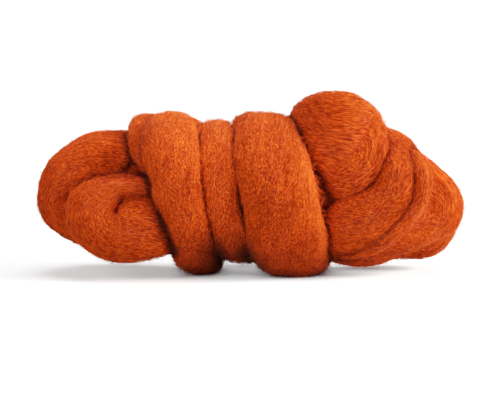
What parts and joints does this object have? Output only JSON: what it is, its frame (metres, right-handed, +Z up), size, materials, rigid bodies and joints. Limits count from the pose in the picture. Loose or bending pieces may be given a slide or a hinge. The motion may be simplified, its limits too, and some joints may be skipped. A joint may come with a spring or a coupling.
{
  "type": "hank of wool roving",
  "caption": "Soft hank of combed wool roving, folded into loops at both ends and wound round its middle.",
  "frame": {"origin": "on the surface that the hank lies on, under the middle of its box", "axes": "+X along the hank towards its taller end, +Z up, -Y towards the front, where the wound turns and both ends' loops show"},
  "size_m": [0.2004, 0.0808, 0.0864],
  "materials": {
    "wool": "soft combed wool, dyed burnt orange"
  },
  "bodies": {
    "root": {"roving": "wool"}
  },
  "joints": []
}
